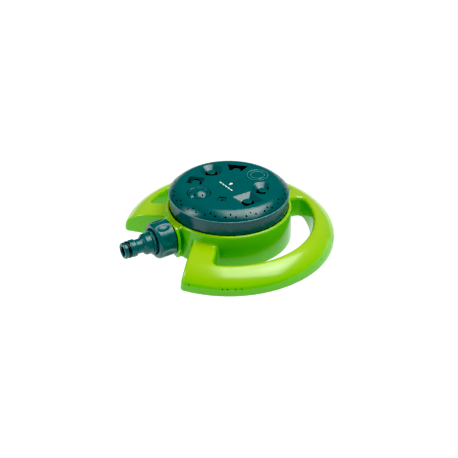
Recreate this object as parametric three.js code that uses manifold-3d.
// Turret sprinkler with eight spray patterns on a moulded base with two hand gaps.
// Millimetres, +Z up. The origin is on the turret axis at ground level and the inlet points to -Y.
import * as THREE from 'three';
import { mergeVertices } from 'three/addons/utils/BufferGeometryUtils.js';
import Module from 'manifold-3d';

const wasm = await Module();
wasm.setup();

// ---------------------------------------------------------------- driving dimensions
const WALL = 2.4;
const GAP = 0.3;

const BASE_RADIUS = 107;
const LIP_HEIGHT = 6.4;
const SHELF_RADIUS = 85.5;
const SHELF_Z = 20.9;
const SHELF_INNER_Z = 24.8;
const SHOULDER_ARC = 32.2;

const DRUM_RADIUS = 62.4;
const DRUM_FOOT_RADIUS = 63.6;
const DRUM_INNER = 60.2;
const DRUM_TOP_Z = 34.4;
const DECK_TOP_Z = 30.5;
const DECK_BOTTOM_Z = 27.5;

const HAND_GAP_FRONT_DEG = -41.4;
const HAND_GAP_OUTER_TOP = 85.5;
const HAND_GAP_OUTER_FOOT = 82.5;
const BRIDGE_HALF_TOP = 8.8;
const BRIDGE_HALF_FOOT = 10.8;

const NOTCH_POINT = new THREE.Vector2(26.8, -55.9);
const NOTCH_DEG = -41.8;
const NOTCH_FOOT_SHIFT = 3.8;

const INLET_Z = 18.5;
const BOSS_FACE_Y = -67.3;
const BOSS_FLANGE_RADIUS = 18.6;
const BOSS_NECK_HALF = 13;
const STUB_RADIUS = 13.1;
const STUB_BORE = 9.9;
const STUB_END_Y = -76;

const NUT_RADIUS = 18;
const NUT_REAR_Y = -68;
const NUT_FRONT_Y = -86;
const NUT_LIP_Y = -81.6;
const NUT_SCOOPS = 8;
const NIPPLE_TIP_Y = -117.3;
const NIPPLE_BORE = 4.7;

const TURRET_RADIUS = 60;
const SKIRT_RADIUS = 59.5;
const SKIRT_INNER = 57.1;
const SKIRT_BOTTOM_Z = 32.2;
const FLOOR_BOTTOM_Z = 34;
const FLOOR_TOP_Z = 36.5;
const RIM_Z = 48.3;
const FACE_Z = 56.5;
const CAP_WALL = 2.4;
const CAP_FLAT_RADIUS = 46.5;
const RECESS_FLOOR_Z = 46.4;

const PATTERNS = 8;
const PATTERN_PITCH_DEG = 360 / PATTERNS;
const PATTERN_RADIUS = 34;
const JET_STATION_RADIUS = 29.4;
const POST_RADIUS = 4.4;
const POST_TOP_Z = 54.1;
const OUTLET_RADIUS = 6;
const NARROW_OUTLET_RADIUS = 5.2;
const RECESS_BOSS_RADIUS = 11.8;
const JET_BOSS_RADIUS = 9.6;
const CONE_RADIUS = 12.1;

const LOWER_JETS = { count: 36, radius: 55.8, startDeg: 5 };
const UPPER_JETS = { count: 18, radius: 53.9, startDeg: 10 };
const JET_RADIUS = 0.8;

const PORT_Y = -PATTERN_RADIUS;
const DETENT_Y = 48;
const COVER_RADIUS = 59.7;
const COVER_THICKNESS = 2.4;
const COVER_SCREW_RADIUS = 45;
const COVER_SCREW_DEGS = [40, 140, 220, 320];
const MANIFOLD_SCREW_X = 16;

const FINE = 54;
const ROUND = 24;
const SMALL = 10;
const JET_SIDES = 4;

// ---------------------------------------------------------------- solids
const rad = THREE.MathUtils.degToRad;
const polar = (radius, deg) => new THREE.Vector2(radius * Math.cos(rad(deg)), radius * Math.sin(rad(deg)));
const v2 = (x, y) => new THREE.Vector2(x, y);

function toManifold(geometry) {
  const bare = geometry.clone();
  bare.deleteAttribute('normal');
  bare.deleteAttribute('uv');
  const merged = mergeVertices(bare, 1e-4);
  return new wasm.Manifold(new wasm.Mesh({
    numProp: 3,
    vertProperties: new Float32Array(merged.attributes.position.array),
    triVerts: new Uint32Array(merged.index.array),
  }));
}

function toGeometry(solid) {
  const mesh = solid.getMesh();
  const geometry = new THREE.BufferGeometry();
  geometry.setAttribute('position', new THREE.BufferAttribute(new Float32Array(mesh.vertProperties), 3));
  geometry.setIndex(new THREE.BufferAttribute(new Uint32Array(mesh.triVerts), 1));
  geometry.computeVertexNormals();
  return geometry;
}

// A profile of [radius, z] points turned about Z; given from the bottom up on the outside.
function turned(points, segments = ROUND) {
  const geometry = new THREE.LatheGeometry(points.map(([r, z]) => v2(r, z)), segments);
  geometry.rotateX(Math.PI / 2);
  return geometry;
}

function disc(radius, z0, z1, segments = ROUND) {
  return turned([[0, z0], [radius, z0], [radius, z1], [0, z1]], segments);
}

function tubeRing(inner, outer, z0, z1, segments = ROUND) {
  return turned([[inner, z0], [outer, z0], [outer, z1], [inner, z1], [inner, z0]], segments);
}

function slab(points, z0, z1) {
  const geometry = new THREE.ExtrudeGeometry(new THREE.Shape(points), {
    depth: z1 - z0, bevelEnabled: false, steps: 1,
  });
  return geometry.translate(0, 0, z0);
}

// A slab whose upper outline differs from its lower one, point for point.
function draftedSlab(lower, upper, z0, z1) {
  const geometry = slab(lower, z0, z1);
  const position = geometry.attributes.position;
  for (let i = 0; i < position.count; i += 1) {
    if (position.getZ(i) < z1 - 1e-3) continue;
    const here = v2(position.getX(i), position.getY(i));
    let nearest = 0;
    lower.forEach((point, k) => {
      if (point.distanceTo(here) < lower[nearest].distanceTo(here)) nearest = k;
    });
    position.setXY(i, upper[nearest].x, upper[nearest].y);
  }
  return geometry;
}

const at = (geometry, x, y, z = 0) => geometry.clone().translate(x, y, z);
const spun = (geometry, deg) => geometry.clone().rotateZ(rad(deg));

// A turned shape laid along the inlet: its profile's z becomes the distance towards -Y.
function alongInlet(geometry) {
  return geometry.clone().rotateX(Math.PI / 2).translate(0, 0, INLET_Z);
}

function unite(parts) {
  return parts.map(toManifold).reduce((sum, part) => sum.add(part));
}

function cut(solid, parts) {
  return parts.map(toManifold).reduce((left, part) => left.subtract(part), solid);
}

const group = new THREE.Group();

function piece(name, shape, finish, place = [0, 0, 0]) {
  const geometry = shape.getMesh ? toGeometry(shape) : shape;
  const mesh = new THREE.Mesh(geometry, new THREE.MeshStandardMaterial(finish));
  mesh.name = name;
  mesh.position.set(...place);
  group.add(mesh);
}

const LIME = { color: 0x86c81e, roughness: 0.32, metalness: 0 };
const TEAL = { color: 0x06605e, roughness: 0.2, metalness: 0 };
const TEAL_MATT = { color: 0x1f4a44, roughness: 0.42, metalness: 0 };
const BLACK_RUBBER = { color: 0x15171a, roughness: 0.6, metalness: 0 };
const GREY_PLASTIC = { color: 0x2c3336, roughness: 0.5, metalness: 0 };
const ACETAL = { color: 0xe6e4dc, roughness: 0.4, metalness: 0 };
const STEEL = { color: 0xb4b7ba, roughness: 0.3, metalness: 1 };

// ---------------------------------------------------------------- base shell
function arcPoints(cx, cz, radius, fromDeg, toDeg, steps) {
  const points = [];
  for (let i = 0; i <= steps; i += 1) {
    const angle = rad(fromDeg + (toDeg - fromDeg) * i / steps);
    points.push([cx + radius * Math.cos(angle), cz + radius * Math.sin(angle)]);
  }
  return points;
}

// Centre of the shoulder arc, tangent to the gently sloping shelf.
const SHELF_SLOPE = Math.atan2(SHELF_INNER_Z - SHELF_Z, SHELF_RADIUS - DRUM_RADIUS);
const ARC_CX = SHELF_RADIUS - SHOULDER_ARC * Math.sin(SHELF_SLOPE);
const ARC_CZ = SHELF_Z - SHOULDER_ARC * Math.cos(SHELF_SLOPE);
const ARC_TOP_DEG = 90 - THREE.MathUtils.radToDeg(SHELF_SLOPE);
const ARC_FOOT_DEG = 33.2;

function wingProfile(inset) {
  const arc = arcPoints(ARC_CX, ARC_CZ, SHOULDER_ARC - inset, ARC_FOOT_DEG, ARC_TOP_DEG, 5);
  const inner = inset > 0 ? DRUM_INNER + WALL : DRUM_INNER - 1;
  const foot = inset > 0 ? -1 : 0;
  return [
    [inner, foot],
    [BASE_RADIUS - inset, foot],
    [BASE_RADIUS - inset, LIP_HEIGHT - inset / 2],
    ...arc,
    [inner, SHELF_INNER_Z - inset],
    [inner, foot],
  ];
}

function handGapOutline(inner, outer, frontDeg, bridgeHalf, grow) {
  const rear = bridgeHalf - grow;
  const front = frontDeg - THREE.MathUtils.radToDeg(grow / ((inner + outer) / 2));
  const rearOuter = THREE.MathUtils.radToDeg(Math.acos(rear / outer));
  const rearInner = THREE.MathUtils.radToDeg(Math.acos(rear / inner));
  const corner = 2;
  const points = [];
  const outerSteps = 11;
  points.push(polar(outer - corner, front));
  for (let i = 0; i <= outerSteps; i += 1) {
    points.push(polar(outer, front + 1.6 + (rearOuter - 5 - front - 1.6) * i / outerSteps));
  }
  points.push(v2(rear, Math.sqrt(outer * outer - rear * rear) - corner * 3));
  const innerSteps = 9;
  for (let i = 0; i <= innerSteps; i += 1) {
    points.push(polar(inner, rearInner + (front - rearInner) * i / innerSteps));
  }
  return points;
}

function handGap(grow, z0, z1) {
  // The walls lean: the outlines at the ends are carried on from ground and shelf level.
  const lean = (foot, top, z) => foot + (top - foot) * z / SHELF_Z;
  const outline = (z) => handGapOutline(
    lean(DRUM_FOOT_RADIUS, DRUM_RADIUS + 0.3, z) - grow,
    lean(HAND_GAP_OUTER_FOOT, HAND_GAP_OUTER_TOP, z) + grow,
    HAND_GAP_FRONT_DEG,
    lean(BRIDGE_HALF_FOOT, BRIDGE_HALF_TOP, z),
    grow,
  );
  return draftedSlab(outline(z0), outline(z1), z0, z1);
}

function mirrored(geometry) {
  const flipped = geometry.clone().scale(-1, 1, 1);
  const position = flipped.attributes.position;
  for (let i = 0; i < position.count; i += 3) {
    const a = [position.getX(i), position.getY(i), position.getZ(i)];
    position.setXYZ(i, position.getX(i + 1), position.getY(i + 1), position.getZ(i + 1));
    position.setXYZ(i + 1, ...a);
  }
  return flipped;
}

function notch(grow, z0, z1) {
  const along = polar(1, NOTCH_DEG);
  const inward = v2(along.y, -along.x);
  const reach = 110;
  const outline = (z) => {
    const shift = NOTCH_FOOT_SHIFT * (1 - z / SHELF_INNER_Z) - grow;
    const start = NOTCH_POINT.clone().addScaledVector(inward, shift);
    const apexY = start.y - start.x * along.y / along.x;
    const end = start.clone().addScaledVector(along, reach);
    return [v2(0, apexY), v2(-end.x, end.y), v2(end.x, end.y)];
  };
  return draftedSlab(outline(z0), outline(z1), z0, z1);
}

const drumOutside = turned([
  [0, 0], [DRUM_FOOT_RADIUS, 0], [DRUM_RADIUS, DRUM_TOP_Z - 1], [DRUM_RADIUS - 0.5, DRUM_TOP_Z - 0.2],
  [DRUM_RADIUS - 1.2, DRUM_TOP_Z], [DRUM_RADIUS - 1.8, DRUM_TOP_Z - 0.4], [DRUM_INNER + 0.2, DECK_TOP_Z],
  [0, DECK_TOP_Z],
], FINE);

const BOSS_TOP_Z = DRUM_TOP_Z - 0.8;
const bossArch = arcPoints(0, INLET_Z, BOSS_FLANGE_RADIUS, -18, 198, 14);
const bossFlangeShape = [
  v2(-BOSS_NECK_HALF, 0.1), v2(BOSS_NECK_HALF, 0.1), v2(16.6, 9),
  ...bossArch.map(([x, z]) => v2(x, Math.min(z, BOSS_TOP_Z))),
  v2(-16.6, 9),
];
const BOSS_FLANGE_THICKNESS = 3;
const bossFlange = slab(bossFlangeShape, 0, BOSS_FLANGE_THICKNESS)
  .rotateX(Math.PI / 2).translate(0, BOSS_FACE_Y + BOSS_FLANGE_THICKNESS, 0);
const BOSS_NECK_DEPTH = 5.4;
const bossNeck = new THREE.BoxGeometry(2 * BOSS_NECK_HALF, BOSS_NECK_DEPTH, DRUM_TOP_Z - 2)
  .translate(0, BOSS_FACE_Y + 1 + BOSS_NECK_DEPTH / 2, (DRUM_TOP_Z - 2) / 2 + 0.05);
const stub = alongInlet(disc(STUB_RADIUS, -BOSS_FACE_Y - 6, -STUB_END_Y));
const STUB_INSIDE_Y = -58.5;
const stubSleeve = alongInlet(disc(STUB_BORE + WALL, -STUB_INSIDE_Y, -BOSS_FACE_Y - 2));
const stubBore = alongInlet(disc(STUB_BORE, 50, -STUB_END_Y + 1));

const gapCut = handGap(0, -2, 30);
const gapWall = handGap(WALL, -2, 30);
const wings = cut(toManifold(turned(wingProfile(0), FINE)), [notch(0, -2, 30), gapCut, mirrored(gapCut)]);
const wingHollow = cut(
  toManifold(turned(wingProfile(WALL), FINE)),
  [notch(WALL, -2, 30), gapWall, mirrored(gapWall)],
);
const drumHollow = disc(DRUM_INNER, -1, DECK_BOTTOM_Z, FINE);

const PIVOT_HOLE = 8.2;
const PORT_HOLE = 8.7;
const DETENT_HOLE = 3;
const SCREW_POST_RADIUS = 4.2;
const SCREW_POST_BORE = 2;
const SCREW_POST_Z = 5.6;

let shell = wings.add(unite([drumOutside, bossFlange, bossNeck, stub])).subtract(wingHollow);
shell = cut(shell, [drumHollow]).add(toManifold(stubSleeve));
shell = cut(shell, [
  stubBore,
  disc(PIVOT_HOLE, 20, 40, ROUND),
  at(disc(PORT_HOLE, 20, 40, ROUND), 0, PORT_Y),
  at(disc(DETENT_HOLE, 20, 40, SMALL), 0, DETENT_Y),
]);
COVER_SCREW_DEGS.forEach((deg) => {
  const place = polar(COVER_SCREW_RADIUS, deg);
  const post = at(disc(SCREW_POST_RADIUS, SCREW_POST_Z, DECK_BOTTOM_Z + 1, SMALL), place.x, place.y);
  const bore = at(disc(SCREW_POST_BORE, SCREW_POST_Z - 1, 22, SMALL), place.x, place.y);
  shell = cut(shell.add(toManifold(post)), [bore]);
});
const MANIFOLD_BORE = 1.5;
[-1, 1].forEach((side) => {
  shell = cut(shell, [at(disc(MANIFOLD_BORE, 20, DECK_TOP_Z - 1, SMALL), side * MANIFOLD_SCREW_X, PORT_Y)]);
});
piece('base_shell', shell, LIME);

// ---------------------------------------------------------------- bottom cover and its screws
const COVER_BOSS_Z = 5.2;
const DETENT_POCKET_OUTER = 6.4;
const DETENT_POCKET_INNER = 5;
const DETENT_POCKET_TOP = 20;
const SCREW_HEAD_RADIUS = 3.4;
let cover = toManifold(disc(COVER_RADIUS, 0, COVER_THICKNESS, FINE));
const pocketTube = tubeRing(
  DETENT_POCKET_INNER, DETENT_POCKET_OUTER, COVER_THICKNESS - 0.5, DETENT_POCKET_TOP, SMALL,
);
cover = cover.add(toManifold(at(pocketTube, 0, DETENT_Y)));
COVER_SCREW_DEGS.forEach((deg) => {
  const place = polar(COVER_SCREW_RADIUS, deg);
  cover = cut(cover.add(toManifold(at(disc(6, 1, COVER_BOSS_Z, SMALL), place.x, place.y))), [
    at(disc(SCREW_HEAD_RADIUS + 0.4, -1, 2.7, SMALL), place.x, place.y),
    at(disc(SCREW_POST_BORE + 0.2, -1, COVER_BOSS_Z + 1, SMALL), place.x, place.y),
  ]);
});
const DRAIN_SLOTS = [0, 90, 180];
DRAIN_SLOTS.forEach((deg) => {
  const slot = new THREE.BoxGeometry(14, 4, 10).translate(30, 0, 0);
  cover = cut(cover, [spun(slot, deg)]);
});
piece('bottom_cover', cover, LIME);

function screw(headRadius, headHeight, shankRadius, length, segments = SMALL) {
  const recess = new THREE.CylinderGeometry(headRadius * 0.55, headRadius * 0.45, 1.4, 6)
    .rotateX(Math.PI / 2).translate(0, 0, 0.5);
  const body = turned([
    [0, 0], [headRadius * 0.8, 0], [headRadius, headHeight * 0.5], [headRadius, headHeight],
    [shankRadius, headHeight], [shankRadius, length - 1.5], [shankRadius * 0.35, length], [0, length],
  ], segments);
  return cut(toManifold(body), [recess]);
}
COVER_SCREW_DEGS.forEach((deg, i) => {
  const place = polar(COVER_SCREW_RADIUS, deg);
  piece(`cover_screw_${i + 1}`, screw(SCREW_HEAD_RADIUS, 2.1, 1.6, 14), STEEL, [place.x, place.y, GAP]);
});

// ---------------------------------------------------------------- inlet manifold, under the deck
const CUP_RADIUS = 10.4;
const CUP_BORE = 8.2;
const CUP_TOP_Z = DECK_BOTTOM_Z - GAP;
const CUP_FLOOR_Z = 9;
const PIPE_RADIUS = 8.6;
const SPIGOT_RADIUS = 9.4;
const SPIGOT_START_Y = -58;
const SPIGOT_BORE = 6.6;
const SPIGOT_END_Y = -66;
const SPIGOT_RING_Y = -62.5;
let manifoldBody = unite([
  at(disc(CUP_RADIUS, CUP_FLOOR_Z - WALL, CUP_TOP_Z), 0, PORT_Y),
  alongInlet(disc(PIPE_RADIUS, -PORT_Y, -SPIGOT_END_Y - 4)),
  alongInlet(disc(SPIGOT_RADIUS, -SPIGOT_START_Y, -SPIGOT_END_Y)),
  slab([
    v2(-MANIFOLD_SCREW_X - 4.5, PORT_Y - 4.5), v2(MANIFOLD_SCREW_X + 4.5, PORT_Y - 4.5),
    v2(MANIFOLD_SCREW_X + 4.5, PORT_Y + 4.5), v2(-MANIFOLD_SCREW_X - 4.5, PORT_Y + 4.5),
  ], CUP_TOP_Z - 3, CUP_TOP_Z),
]);
manifoldBody = cut(manifoldBody, [
  at(disc(CUP_BORE, CUP_FLOOR_Z, CUP_TOP_Z + 1), 0, PORT_Y),
  alongInlet(disc(SPIGOT_BORE, -PORT_Y, -SPIGOT_END_Y + 1)),
  alongInlet(tubeRing(SPIGOT_RADIUS - 1.6, SPIGOT_RADIUS + 1, -SPIGOT_RING_Y - 1.2, -SPIGOT_RING_Y + 1.2)),
  at(disc(1.9, 20, 30, SMALL), -MANIFOLD_SCREW_X, PORT_Y),
  at(disc(1.9, 20, 30, SMALL), MANIFOLD_SCREW_X, PORT_Y),
]);
piece('inlet_manifold', manifoldBody, GREY_PLASTIC);

function ringSeal(major, minor, segments = 16) {
  return new THREE.TorusGeometry(major, minor, 5, segments);
}
piece('spigot_o_ring', ringSeal(8.75, 0.85).rotateX(Math.PI / 2), BLACK_RUBBER, [0, SPIGOT_RING_Y, INLET_Z]);
[-1, 1].forEach((side) => {
  piece(side < 0 ? 'manifold_screw_1' : 'manifold_screw_2', screw(3, 1.9, 1.25, 7.4), STEEL,
    [side * MANIFOLD_SCREW_X, PORT_Y, CUP_TOP_Z - 3 - 1.9 - GAP]);
});

class Helix extends THREE.Curve {
  constructor(radius, turns, height) {
    super();
    Object.assign(this, { radius, turns, height });
  }

  getPoint(t, target = new THREE.Vector3()) {
    const angle = 2 * Math.PI * this.turns * t;
    return target.set(this.radius * Math.cos(angle), this.radius * Math.sin(angle), this.height * t);
  }
}

function coilSpring(radius, wire, turns, z0, z1) {
  const sides = 5;
  const section = new THREE.Shape(Array.from({ length: sides }, (_, i) => polar(wire / 2, i * 360 / sides)));
  const geometry = new THREE.ExtrudeGeometry(section, {
    steps: Math.round(turns * 9), extrudePath: new Helix(radius, turns, z1 - z0 - wire), bevelEnabled: false,
  });
  return geometry.translate(0, 0, z0 + wire / 2);
}

const SEAL_OUTER = 8.3;
const SEAL_INNER = 5.4;
const CARRIER_OUTER = 7.8;
const CARRIER_BOTTOM = 20;
const CARRIER_TOP = 29;
piece('port_seal', tubeRing(SEAL_INNER, SEAL_OUTER, CARRIER_TOP + GAP, FLOOR_BOTTOM_Z - GAP, 20),
  BLACK_RUBBER, [0, PORT_Y, 0]);
piece('seal_carrier', turned([
  [SEAL_INNER, CARRIER_BOTTOM], [CARRIER_OUTER, CARRIER_BOTTOM], [CARRIER_OUTER, CARRIER_TOP],
  [SEAL_INNER, CARRIER_TOP], [SEAL_INNER, CARRIER_BOTTOM],
], 20), ACETAL, [0, PORT_Y, 0]);
piece('seal_spring', coilSpring(6.6, 1, 3.5, CUP_FLOOR_Z + GAP, CARRIER_BOTTOM - GAP), STEEL, [0, PORT_Y, 0]);

// ---------------------------------------------------------------- detent
const DETENT_TIP = 2.4;
const DETENT_TIP_Z = FLOOR_BOTTOM_Z - GAP;
const DETENT_COLLAR = 4.4;
const DETENT_COLLAR_BOTTOM = 23.6;
piece('detent_plunger', turned([
  [0, DETENT_COLLAR_BOTTOM], [DETENT_COLLAR, DETENT_COLLAR_BOTTOM], [DETENT_COLLAR, DECK_BOTTOM_Z - GAP],
  [DETENT_TIP, DECK_BOTTOM_Z - GAP], [DETENT_TIP, DETENT_TIP_Z - 1.6], [1.7, DETENT_TIP_Z - 0.5],
  [0.8, DETENT_TIP_Z - 0.1], [0, DETENT_TIP_Z],
], SMALL), ACETAL, [0, DETENT_Y, 0]);
piece('detent_spring', coilSpring(3.4, 0.9, 5, COVER_THICKNESS + GAP, DETENT_COLLAR_BOTTOM - GAP),
  STEEL, [0, DETENT_Y, 0]);

// ---------------------------------------------------------------- pivot, hanging under the turret floor
const HUB_RADIUS = 6;
const HUB_BOTTOM_Z = 23.2;
const HUB_BORE = 2.3;
const BUSH_OUTER = 7.9;
const BUSH_INNER = 6.3;
piece('pivot_bush', turned([
  [BUSH_INNER, DECK_BOTTOM_Z - 1], [BUSH_OUTER, DECK_BOTTOM_Z - 1], [BUSH_OUTER, DECK_TOP_Z + GAP],
  [10.5, DECK_TOP_Z + GAP], [10.5, DECK_TOP_Z + 1.5], [BUSH_INNER, DECK_TOP_Z + 1.5],
  [BUSH_INNER, DECK_BOTTOM_Z - 1],
], 20), ACETAL);
const WASHER_TOP = HUB_BOTTOM_Z - GAP;
piece('pivot_washer', tubeRing(2.6, 11, WASHER_TOP - 1.4, WASHER_TOP, 20), STEEL);
piece('pivot_spring', coilSpring(9.3, 1.2, 1.75, WASHER_TOP + GAP, DECK_BOTTOM_Z - GAP), STEEL);
piece('pivot_screw', screw(4.6, 2.6, 1.9, 13), STEEL, [0, 0, WASHER_TOP - 1.4 - 2.6 - GAP]);
piece('hub_o_ring', ringSeal(7.6, 0.75), BLACK_RUBBER, [0, 0, FLOOR_BOTTOM_Z - 1.06]);

// ---------------------------------------------------------------- turret body
const PORT_RADIUS = 4.6;
// Half way between two stations a ridge under the floor presses the detent plunger down.
const RIDGE_DEPTH = 0.8;
const ridge = draftedSlab(
  [v2(45.5, -0.7), v2(50.5, -0.7), v2(50.5, 0.7), v2(45.5, 0.7)],
  [v2(44.9, -1.5), v2(51.1, -1.5), v2(51.1, 1.5), v2(44.9, 1.5)],
  FLOOR_BOTTOM_Z - RIDGE_DEPTH, FLOOR_BOTTOM_Z + 0.4,
);
let turretBody = unite([
  turned([
    [0, FLOOR_BOTTOM_Z], [SKIRT_INNER, FLOOR_BOTTOM_Z], [SKIRT_INNER, SKIRT_BOTTOM_Z],
    [SKIRT_RADIUS, SKIRT_BOTTOM_Z], [SKIRT_RADIUS, RIM_Z - GAP], [SKIRT_INNER, RIM_Z - GAP],
    [SKIRT_INNER, FLOOR_TOP_Z], [0, FLOOR_TOP_Z],
  ], FINE),
  disc(HUB_RADIUS, HUB_BOTTOM_Z, FLOOR_TOP_Z - 1, 20),
]);
turretBody = cut(turretBody, [disc(HUB_BORE, HUB_BOTTOM_Z - 1, FLOOR_BOTTOM_Z, SMALL)]);
for (let i = 0; i < PATTERNS; i += 1) {
  const place = polar(PATTERN_RADIUS, i * PATTERN_PITCH_DEG);
  turretBody = cut(turretBody, [at(disc(PORT_RADIUS, 30, 40, SMALL), place.x, place.y)])
    .add(toManifold(spun(ridge, (i + 0.5) * PATTERN_PITCH_DEG)));
}
piece('turret_body', turretBody, TEAL_MATT);

// ---------------------------------------------------------------- chamber divider
const DIVIDER_TOP_Z = FACE_Z - CAP_WALL - GAP;
const DIVIDER_WALL = 1.6;
const DIVIDER_HUB_INNER = 5;
const DIVIDER_HUB_OUTER = 7;
const DIVIDER_FOOT_Z = FLOOR_TOP_Z + GAP;
const dividerWall = slab([
  v2(DIVIDER_HUB_OUTER - 1, DIVIDER_FOOT_Z), v2(SKIRT_INNER - GAP, DIVIDER_FOOT_Z), v2(SKIRT_INNER - GAP, 48.2),
  v2(53.6, 50.6), v2(50.2, 52.5), v2(CAP_FLAT_RADIUS - 0.6, DIVIDER_TOP_Z),
  v2(DIVIDER_HUB_OUTER - 1, DIVIDER_TOP_Z),
], -DIVIDER_WALL / 2, DIVIDER_WALL / 2).rotateX(Math.PI / 2);
let divider = toManifold(tubeRing(DIVIDER_HUB_INNER, DIVIDER_HUB_OUTER, DIVIDER_FOOT_Z, DIVIDER_TOP_Z, 24));
for (let i = 0; i < PATTERNS; i += 1) {
  divider = divider.add(toManifold(spun(dividerWall, (i + 0.5) * PATTERN_PITCH_DEG)));
}
piece('chamber_divider', divider, GREY_PLASTIC);

// ---------------------------------------------------------------- turret cap with its recesses
const shoulder = [
  [TURRET_RADIUS, RIM_Z], [TURRET_RADIUS, RIM_Z + 0.8], [59.3, RIM_Z + 1], [58.5, 49.9], [55.8, 52],
  [53, 54.1], [51, 55.2], [49, 56], [CAP_FLAT_RADIUS, FACE_Z],
];
const inside = [
  [CAP_FLAT_RADIUS, FACE_Z - CAP_WALL], [50.5, 53], [54, 51], [SKIRT_INNER, 48.6], [SKIRT_INNER, RIM_Z],
];
const capProfile = [...shoulder, [0, FACE_Z], [0, FACE_Z - CAP_WALL], ...inside, [TURRET_RADIUS, RIM_Z]];
let cap = toManifold(turned(capProfile, FINE));

// A shape made at the origin is stood on the pattern circle at +X and then spun to its station.
function station(geometry, deg, radius = PATTERN_RADIUS) {
  return spun(at(geometry, radius, 0), deg);
}
const ABOVE = FACE_Z + 0.5;
const outlet = disc(OUTLET_RADIUS, RECESS_FLOOR_Z - 1, FACE_Z, 16);
const narrowOutlet = disc(NARROW_OUTLET_RADIUS, RECESS_FLOOR_Z - 1, FACE_Z, 16);
const FAN_FLOOR_Z = 48;
// The walls of the round and square dishes stand 35 degrees off the face.
const DISH_SLOPE = Math.tan(rad(35));
const DISH_SPREAD = (ABOVE - FACE_Z) / DISH_SLOPE;
const CONE_FOOT_Z = FACE_Z - (CONE_RADIUS - OUTLET_RADIUS) * DISH_SLOPE;
const cone = turned([[0, CONE_FOOT_Z], [OUTLET_RADIUS, CONE_FOOT_Z], [CONE_RADIUS, FACE_Z],
  [CONE_RADIUS + DISH_SPREAD, ABOVE], [0, ABOVE]], 24);

// A flared pocket about the station. Each outline is a trapezium given by its inner and outer edges:
// [x of the inner edge, its half width, x of the outer edge, its half width].
function pocket(lower, upper, floorZ) {
  const corners = ([x0, half0, x1, half1]) => [v2(x0, -half0), v2(x1, -half1), v2(x1, half1), v2(x0, half0)];
  return draftedSlab(corners(lower), corners(upper), floorZ, ABOVE);
}
const SQUARE_HALF = 10.9;
const SQUARE_FOOT_HALF = 4.2;
const squareEdges = (half) => [-half, half, half, half];
const square = pocket(squareEdges(SQUARE_FOOT_HALF), squareEdges(SQUARE_HALF + DISH_SPREAD),
  FACE_Z - (SQUARE_HALF - SQUARE_FOOT_HALF) * DISH_SLOPE);
const fan = pocket([-4.8, 5.2, 4.6, 5.2], [-5.4, 6, 6.4, 10.8], FAN_FLOOR_Z);
const FLAT_SLOT_FLOOR_Z = 52.2;
const flatSlot = pocket([-4.4, 3.4, 5.6, 3.4], [-8.5, 7.6, 7.8, 7.6], FLAT_SLOT_FLOOR_Z);
const JET_POCKET_DEPTH = 2.2;
const jetPocket = pocket([-3.2, 3.4, 2.6, 3.4], [-3.8, 4.6, 4.8, 4.6], FACE_Z - JET_POCKET_DEPTH);
const jetOutlet = disc(1.6, RECESS_FLOOR_Z - 1, FACE_Z, 12);
const HALF_CONE_FLAT_X = 4.4;
const halfCone = toManifold(cone).subtract(toManifold(
  new THREE.BoxGeometry(20, 40, 30).translate(10 + HALF_CONE_FLAT_X, 0, FACE_Z),
));
const roseSeat = turned([[0, RECESS_FLOOR_Z - 1], [9.2, RECESS_FLOOR_Z - 1], [9.2, 50], [11.2, 50],
  [11.2, 55.9], [11.8, FACE_Z], [12.3, ABOVE], [0, ABOVE]], 24);
const mistSeat = turned([[0, RECESS_FLOOR_Z - 1], [9.2, RECESS_FLOOR_Z - 1], [9.2, 50], [11.4, 50],
  [11.4, ABOVE], [0, ABOVE]], 24);

const STATIONS = {
  half_plane: 45, mist: 90, fan: 135, cone: 180, slot: 225, rose: 270, jet: 315, square: 0,
};
const recessBoss = disc(RECESS_BOSS_RADIUS, RECESS_FLOOR_Z, FACE_Z - 0.5, 24);
const jetBoss = disc(JET_BOSS_RADIUS, RECESS_FLOOR_Z, FACE_Z - 0.5, 24);
Object.values(STATIONS).forEach((deg) => {
  const boss = deg === STATIONS.jet ? station(jetBoss, deg, JET_STATION_RADIUS) : station(recessBoss, deg);
  cap = cap.add(toManifold(boss));
});
cap = cut(cap, [
  station(cone, STATIONS.cone), station(outlet, STATIONS.cone),
  station(square, STATIONS.square), station(outlet, STATIONS.square),
  station(fan, STATIONS.fan), station(narrowOutlet, STATIONS.fan),
  station(flatSlot, STATIONS.slot), station(narrowOutlet, STATIONS.slot),
  station(outlet, STATIONS.half_plane),
  station(jetPocket, STATIONS.jet, JET_STATION_RADIUS), station(jetOutlet, STATIONS.jet, JET_STATION_RADIUS),
  station(roseSeat, STATIONS.rose), station(mistSeat, STATIONS.mist),
]);
cap = cap.subtract(toManifold(station(toGeometry(halfCone), STATIONS.half_plane)));

function ringOfJets({ count, radius, startDeg }) {
  const tools = [];
  for (let i = 0; i < count; i += 1) {
    const jet = new THREE.CylinderGeometry(JET_RADIUS, JET_RADIUS, 12, JET_SIDES)
      .rotateX(Math.PI / 2).rotateY(rad(30)).translate(radius, 0, 52);
    tools.push(spun(jet, startDeg + i * 360 / count));
  }
  return tools;
}
cap = cut(cap, [...ringOfJets(LOWER_JETS), ...ringOfJets(UPPER_JETS)]);
piece('turret_cap', cap, TEAL);

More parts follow.
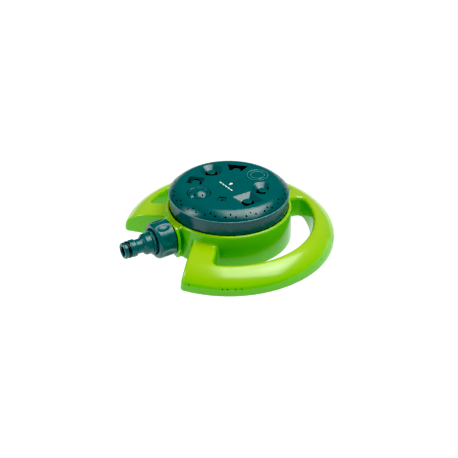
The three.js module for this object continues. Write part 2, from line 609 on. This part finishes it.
// ---------------------------------------------------------------- nozzle inserts
const INSERT_FOOT_Z = 43.6;
const INSERT_FLANGE_TOP = RECESS_FLOOR_Z - GAP;
const post = turned([
  [0, INSERT_FOOT_Z], [7.6, INSERT_FOOT_Z], [7.6, INSERT_FLANGE_TOP], [POST_RADIUS, INSERT_FLANGE_TOP],
  [POST_RADIUS, POST_TOP_Z - 0.4], [POST_RADIUS - 0.4, POST_TOP_Z], [0, POST_TOP_Z],
], 14);
const flangeSlots = [0, 120, 240].map((deg) => spun(
  new THREE.BoxGeometry(5, 3, 10).translate(7.4, 0, INSERT_FOOT_Z), deg + 60,
));
const postInsert = toGeometry(cut(toManifold(post), flangeSlots));
[['square_nozzle', STATIONS.square], ['half_circle_nozzle', STATIONS.half_plane], ['fan_nozzle', STATIONS.fan],
  ['full_cone_nozzle', STATIONS.cone], ['flat_slot_nozzle', STATIONS.slot]].forEach(([name, deg]) => {
  piece(name, station(postInsert, deg), TEAL);
});

const jetInsert = turned([
  [0.8, INSERT_FOOT_Z], [7.6, INSERT_FOOT_Z], [7.6, INSERT_FLANGE_TOP], [1.3, INSERT_FLANGE_TOP],
  [1.3, 52], [0.8, 52], [0.8, INSERT_FOOT_Z],
], 16);
piece('jet_nozzle', station(jetInsert, STATIONS.jet, JET_STATION_RADIUS), TEAL);

// The rose is a dome that stands proud of the face, and the tallest point of the object.
const ROSE_CROWN_Z = 61.2;
const ROSE_BALL_RADIUS = 14.2;
const ROSE_EDGE_RADIUS = 10.9;
const roseDome = [ROSE_EDGE_RADIUS, 9.6, 7.6, 5.2, 2.6, 0].map((radius) => [
  radius, ROSE_CROWN_Z - ROSE_BALL_RADIUS + Math.sqrt(ROSE_BALL_RADIUS ** 2 - radius ** 2),
]);
const roseBody = turned([[0, 50.3], [ROSE_EDGE_RADIUS, 50.3], ...roseDome], 20);
const ROSE_RINGS = [{ radius: 3.7, count: 3, startDeg: 44 }, { radius: 8.5, count: 7, startDeg: 33 }];
const roseHoles = ROSE_RINGS.flatMap(({ radius, count, startDeg }) => Array.from({ length: count }, (_, i) => {
  const place = polar(radius, i * 360 / count + startDeg);
  return at(disc(0.8, 49, 62, 4), place.x, place.y);
}));
piece('shower_rose', station(toGeometry(cut(toManifold(roseBody), roseHoles)), STATIONS.rose), TEAL);

const mistBody = turned([
  [0, 50.3], [11.1, 50.3], [11.1, 56.8], [10.4, 56.8], [10.3, 56.4], [8.2, 56.4], [8.1, 56.7], [7.5, 56.7],
  [7.4, 56.4], [0, 56.4],
], 20);
const mistHoles = Array.from({ length: 12 }, (_, i) => {
  const place = polar(5.6, i * 30);
  return at(disc(0.45, 49, 58, 4), place.x, place.y);
});
piece('mist_disc', station(toGeometry(cut(toManifold(mistBody), mistHoles)), STATIONS.mist), TEAL);

// ---------------------------------------------------------------- swivel nut, washer, nipple
const NUT_THREAD_BORE = STUB_RADIUS + 0.25;
const NUT_LIP_BORE = 10.9;
const NUT_FACE_BORE = 14.4;
let nut = toManifold(alongInlet(turned([
  [NUT_THREAD_BORE, -NUT_REAR_Y], [16.8, -NUT_REAR_Y], [NUT_RADIUS, -NUT_REAR_Y + 1.2],
  [NUT_RADIUS, -NUT_FRONT_Y - 3], [NUT_RADIUS - 1, -NUT_FRONT_Y - 0.9], [NUT_RADIUS - 2.4, -NUT_FRONT_Y],
  [NUT_FACE_BORE, -NUT_FRONT_Y], [NUT_FACE_BORE, -NUT_LIP_Y + 1.9], [NUT_LIP_BORE, -NUT_LIP_Y + 1.9],
  [NUT_LIP_BORE, -NUT_LIP_Y], [NUT_THREAD_BORE, -NUT_LIP_Y], [NUT_THREAD_BORE, -NUT_REAR_Y],
], 32)));
const scoopShape = new THREE.SphereGeometry(1, 8, 6).scale(3.2, 6.2, 1.7);
for (let i = 0; i < NUT_SCOOPS; i += 1) {
  const scoop = scoopShape.clone().translate(0, 0, NUT_RADIUS + 0.4).rotateY(rad((i + 0.5) * 360 / NUT_SCOOPS))
    .translate(0, (NUT_REAR_Y + NUT_FRONT_Y) / 2, INLET_Z);
  nut = cut(nut, [scoop]);
}
piece('swivel_nut', nut, TEAL);

const WASHER_START = -STUB_END_Y + GAP;
const WASHER_END = WASHER_START + 2.4;
piece('hose_washer', alongInlet(tubeRing(8, 12.4, WASHER_START, WASHER_END, 20)), BLACK_RUBBER);

const NIPPLE_FLANGE_START = WASHER_END + GAP;
const NIPPLE_COLLAR_Y = -84.1;
const O_RING_Y = -112.2;
const nippleProfile = [
  [NIPPLE_BORE, NIPPLE_FLANGE_START], [12, NIPPLE_FLANGE_START], [12, -NUT_LIP_Y - GAP],
  [10.5, -NUT_LIP_Y - GAP], [10.5, -NIPPLE_COLLAR_Y], [12.4, -NIPPLE_COLLAR_Y], [12.4, 88.6], [11.9, 89.2],
  [10.5, 89.4], [10.4, 94.8], [9.8, 96.2], [8.3, 97.4], [7.2, 98.6], [7.1, 103.8], [8.5, 105.2], [8.5, 109.2],
  [8, 109.8], [8, -O_RING_Y - 1.35], [5.85, -O_RING_Y - 1.35], [5.85, -O_RING_Y + 1.35],
  [8, -O_RING_Y + 1.35], [8, 116.3], [7.3, -NIPPLE_TIP_Y], [6, -NIPPLE_TIP_Y], [NIPPLE_BORE, 116.2],
  [NIPPLE_BORE, NIPPLE_FLANGE_START],
];
piece('quick_connect_nipple', alongInlet(turned(nippleProfile, 20)), TEAL);
piece('nipple_o_ring', ringSeal(7.25, 1.15).rotateX(Math.PI / 2), BLACK_RUBBER, [0, O_RING_Y, INLET_Z]);

export default group;
